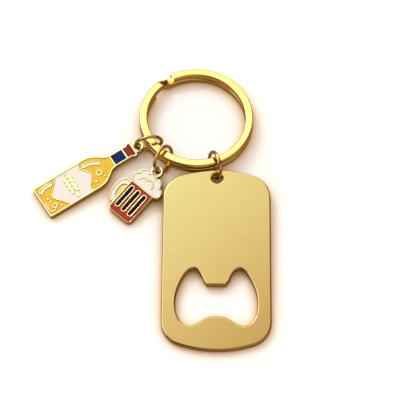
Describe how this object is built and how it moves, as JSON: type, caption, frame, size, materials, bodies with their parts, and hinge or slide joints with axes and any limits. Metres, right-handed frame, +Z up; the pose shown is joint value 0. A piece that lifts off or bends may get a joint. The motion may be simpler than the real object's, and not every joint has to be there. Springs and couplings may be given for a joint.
{
  "type": "keychain bottle opener",
  "caption": "Flat arched-end opener plate with a cap-lifting cut-out, linked by round jump rings to a flat-wire split ring and enamelled charms shaped as a bottle and a foaming mug.",
  "frame": {"origin": "bottom centre of the bounding box of the whole keychain, lying flat on a table at z = 0", "axes": "+Z up out of the table, +Y from the opener plate to the split ring along the plate's long side, +X across the plate, away from the charms"},
  "size_m": [0.0622, 0.08, 0.008],
  "materials": {
    "satin_gold": "satin gold plating with polished edges",
    "polished_gold": "mirror polished gold plating",
    "cast_gold": "polished gold plating over a die casting",
    "enamel_amber": "glossy amber enamel fill",
    "enamel_cream": "glossy cream enamel fill",
    "enamel_navy": "glossy navy enamel fill",
    "enamel_dark_red": "glossy dark red enamel fill",
    "enamel_red": "glossy red enamel fill",
    "enamel_white": "glossy warm white enamel fill",
    "enamel_black": "glossy black enamel fill"
  },
  "bodies": {
    "opener": {"opener_plate": "satin_gold"},
    "opener_link": {"opener_jump_ring": "polished_gold"},
    "key_ring": {"split_ring": "polished_gold"},
    "bottle_link": {"bottle_jump_ring": "polished_gold"},
    "bottle_charm": {"bottle_casting": "cast_gold", "bottle_enamel_shoulder": "enamel_amber", "bottle_enamel_base": "enamel_amber", "bottle_enamel_shoulder_bubble": "enamel_amber", "bottle_enamel_base_bubble": "enamel_amber", "bottle_enamel_label": "enamel_cream", "bottle_enamel_shoulder_glint": "enamel_cream", "bottle_enamel_base_glint": "enamel_cream", "bottle_enamel_neck": "enamel_navy", "bottle_enamel_cap": "enamel_dark_red"},
    "mug_link": {"mug_jump_ring": "polished_gold"},
    "mug_charm": {"mug_casting": "cast_gold", "mug_enamel_foam": "enamel_white", "mug_enamel_handle": "enamel_white", "mug_enamel_body": "enamel_red", "mug_enamel_bar_left": "enamel_black", "mug_enamel_bar_middle": "enamel_black", "mug_enamel_bar_right": "enamel_black"}
  },
  "joints": [
    {"name": "opener_jump_ring_hinge", "type": "hinge", "parent": "opener", "child": "opener_link", "pos_m": [0.01656, 0.01081, 0.00384], "axis": [0.9089, 0.3201, -0.2672], "range_deg": [0, 90]},
    {"name": "split_ring_slide", "type": "hinge", "parent": "opener_link", "child": "key_ring", "pos_m": [0.01166, 0.02478, 0.00272], "axis": [0.0243, 0.0522, 0.9983], "range_deg": [-150, 0]},
    {"name": "bottle_jump_ring_hinge", "type": "hinge", "parent": "key_ring", "child": "bottle_link", "pos_m": [-0.00093, 0.01727, 0.004], "axis": [0.1753, -0.9844, -0.0175], "range_deg": [-95, 0]},
    {"name": "bottle_swing", "type": "hinge", "parent": "bottle_link", "child": "bottle_charm", "pos_m": [-0.0039, 0.01658, 0.00265], "axis": [-0.0513, -0.0331, 0.9981], "range_deg": [-60, 0]},
    {"name": "mug_jump_ring_hinge", "type": "hinge", "parent": "key_ring", "child": "mug_link", "pos_m": [0.00298, 0.01233, 0.004], "axis": [0.806, -0.5017, 0.314], "range_deg": [-60, 0]},
    {"name": "mug_swing", "type": "hinge", "parent": "mug_link", "child": "mug_charm", "pos_m": [0.00139, 0.00898, 0.00304], "axis": [-0.0936, -0.1076, 0.9898], "range_deg": [-10, 0]}
  ]
}
